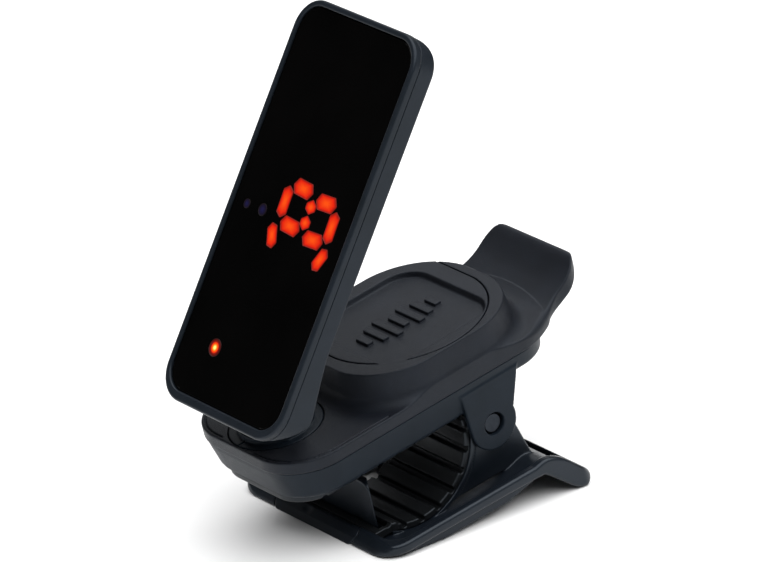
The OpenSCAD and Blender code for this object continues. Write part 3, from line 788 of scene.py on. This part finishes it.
def lens(name, outline, depth):
    """A low light guide: rings shrink from the outline to its middle, with the glow's strength stored."""
    pts = np.array(outline, float)
    mid = pts.mean(0)
    rings = 7
    verts, core = [], []
    for k in range(rings):
        s = 1 - k / rings
        for p in mid + (pts - mid) * s:
            verts.append((depth - 0.02 * math.sin(math.pi / 2 * (1 - s)), p[0], p[1]))
            core.append((k / (rings - 1)) ** 1.1)
    n = len(pts)
    verts.append((depth - 0.02, mid[0], mid[1]))
    core.append(1.0)
    faces = []
    for k in range(rings - 1):
        for i in range(n):
            j = (i + 1) % n
            faces.append((k * n + i, k * n + j, (k + 1) * n + j, (k + 1) * n + i))
    for i in range(n):
        faces.append(((rings - 1) * n + i, (rings - 1) * n + (i + 1) % n, len(verts) - 1))
    under = len(verts)
    for p in pts:
        verts.append((depth + 0.1, p[0], p[1]))
        core.append(0.0)
    for i in range(n):
        j = (i + 1) % n
        faces.append((under + i, under + j, j, i))
    faces.append(tuple(range(under, under + n))[::-1])
    mesh = bpy.data.meshes.new(name)
    mesh.from_pydata([FACE @ Vector(v) for v in verts], [], faces)
    attribute = mesh.attributes.new("core", "FLOAT", "POINT")
    attribute.data.foreach_set("value", np.array(core, np.float32))
    mesh.update()
    mesh.shade_smooth()
    obj = bpy.data.objects.new(name, mesh)
    bpy.context.scene.collection.objects.link(obj)
    return obj


def rounded(outline, r=0.16, steps=5):
    """The outline with each corner turned into a short arc."""
    pts = [Vector(p) for p in outline]
    out = []
    for i, p in enumerate(pts):
        a, b = (pts[i - 1] - p), (pts[(i + 1) % len(pts)] - p)
        cut = min(r, a.length * 0.4, b.length * 0.4)
        start, end = p + a.normalized() * cut, p + b.normalized() * cut
        for k in range(steps + 1):
            t = k / steps
            out.append(tuple(start * (1 - t) ** 2 + p * 2 * t * (1 - t) + end * t * t))
    return out


for k, shape in enumerate(SEGMENTS):
    piece = lens(f"note_segment_{k + 1}", rounded(segment(*shape)), LENS_DEPTH)
    made(piece, "display", RED, "led_red", *(["note_segments"] if k == 0 else []))
LED_LIT = [(0.0, (0.003, 0.0, 0.0)), (0.35, (0.16, 0.002, 0.0)), (0.6, (1.0, 0.04, 0.0)),
           (0.8, (1.0, 0.25, 0.01)), (1.0, (1.0, 0.85, 0.2))]
# The unlit meter lights get a faint blue painted glow: they emit it though nothing in them is lit.
LED_IDLE_PAINTED_GLOW = [(0.0, (0.0, 0.0, 0.0005)), (1.0, (0.003, 0.005, 0.05))]
BEAMS = [glow("led_lit", LED_LIT, 1.3), glow("led_idle_painted_glow", LED_IDLE_PAINTED_GLOW, 1.0)]
for k, (z, y, r) in enumerate(LEDS):
    ring = [(y + r * math.cos(a), z + r * math.sin(a)) for a in np.linspace(0, 2 * math.pi, 33)[:-1]]
    piece = lens(f"meter_led_{k + 1}", ring, LENS_DEPTH)
    made(piece, "display", BEAMS[min(k, 1)], "led_lens", *(["meter_leds"] if k == 0 else []))

# CAD nodes that stay take a finish of their own
FINISH = {
    "coin_cell": CELL, "contact_minus": BRASS, "contact_plus": BRASS, "main_board": GREEN,
    "piezo_sensor": BRASS, "housing_screws": STEEL, "swivel_washer": STEEL,
    "swivel_screw": STEEL, "hinge_pin": DARK_STEEL, "light_mask": BLACK, "display_board": GREEN,
    "switch_dome": STEEL, "display_screws": DARK_STEEL,
}
for node, material in FINISH.items():
    mesh = frame["nodes"][node].data
    mesh.materials.clear()
    mesh.materials.append(material)

# ---------------------------------------------------------------- stage, light, camera
# the frame is 762 pixels wide, and the focal length is in the same pixels
WIDTH = 762
FOCAL_PIXELS = 6741.0


def stage():
    mesh = bpy.data.meshes.new("floor")
    half = 1.5
    mesh.from_pydata([(-half, -half, 0), (half, -half, 0), (half, half, 0), (-half, half, 0)],
                     [], [(0, 1, 2, 3)])
    floor = bpy.data.objects.new("floor", mesh)
    bpy.context.scene.collection.objects.link(floor)
    mat, nodes, links, bsdf = nodes_of("floor_white")
    grain = noise(nodes, links, 40, 2, 0.5)
    tone = ramp(nodes, links, grain.outputs["Fac"], [(0.3, (0.9, 0.9, 0.9)), (0.7, (0.92, 0.92, 0.92))])
    links.new(tone.outputs["Color"], bsdf.inputs["Base Color"])
    bsdf.inputs["Roughness"].default_value = 0.9
    bsdf.inputs["Specular IOR Level"].default_value = 0.0
    mesh.materials.append(mat)


def area(name, where, size, power, colour=(1, 1, 1)):
    data = bpy.data.lights.new(name, "AREA")
    data.shape = "RECTANGLE"
    data.size, data.size_y = size
    data.energy = power
    data.color = colour
    light = bpy.data.objects.new(name, data)
    light.location = where
    target = Vector((0, 0, 0.025))
    light.rotation_euler = (target - light.location).to_track_quat("-Z", "Y").to_euler()
    bpy.context.scene.collection.objects.link(light)


stage()
area("back_soft", (0.4, 0.7, 0.45), (0.6, 0.5), 0.5, (0.97, 0.98, 1.0))
area("top_soft", (0.05, -0.1, 0.8), (1.5, 1.5), 22, (1.0, 1.0, 1.0))
area("near_right", (0.5, -0.55, 0.35), (0.5, 0.5), 0.5, (0.92, 0.96, 1.0))

world = bpy.data.worlds.new("studio")
world.use_nodes = True
world.node_tree.nodes["Background"].inputs["Color"].default_value = (1, 1, 1, 1)
world.node_tree.nodes["Background"].inputs["Strength"].default_value = 0.11
bpy.context.scene.world = world
bpy.context.scene.view_settings.view_transform = "Standard"

# the camera's axes and place, the place in millimetres, in the deck's own frame
RIGHT = Vector((0.77095, -0.59856, -0.21762))
UP = Vector((0.45087, 0.27159, 0.85027))
BACKWARD = Vector((-0.44983, -0.75364, 0.47925))
EYE = Vector((-392.02, -705.83, 460.26))

data = bpy.data.cameras.new("camera")
data.sensor_width = 36
data.lens = 36 * FOCAL_PIXELS / WIDTH
data.clip_start, data.clip_end = 0.05, 10
camera = bpy.data.objects.new("camera", data)
turn = DECK.to_3x3() * (1 / MM)
pose = (turn @ Matrix((RIGHT, UP, BACKWARD)).transposed()).to_4x4()
pose.translation = DECK @ EYE
camera.matrix_world = pose
bpy.context.scene.collection.objects.link(camera)
bpy.context.scene.camera = camera
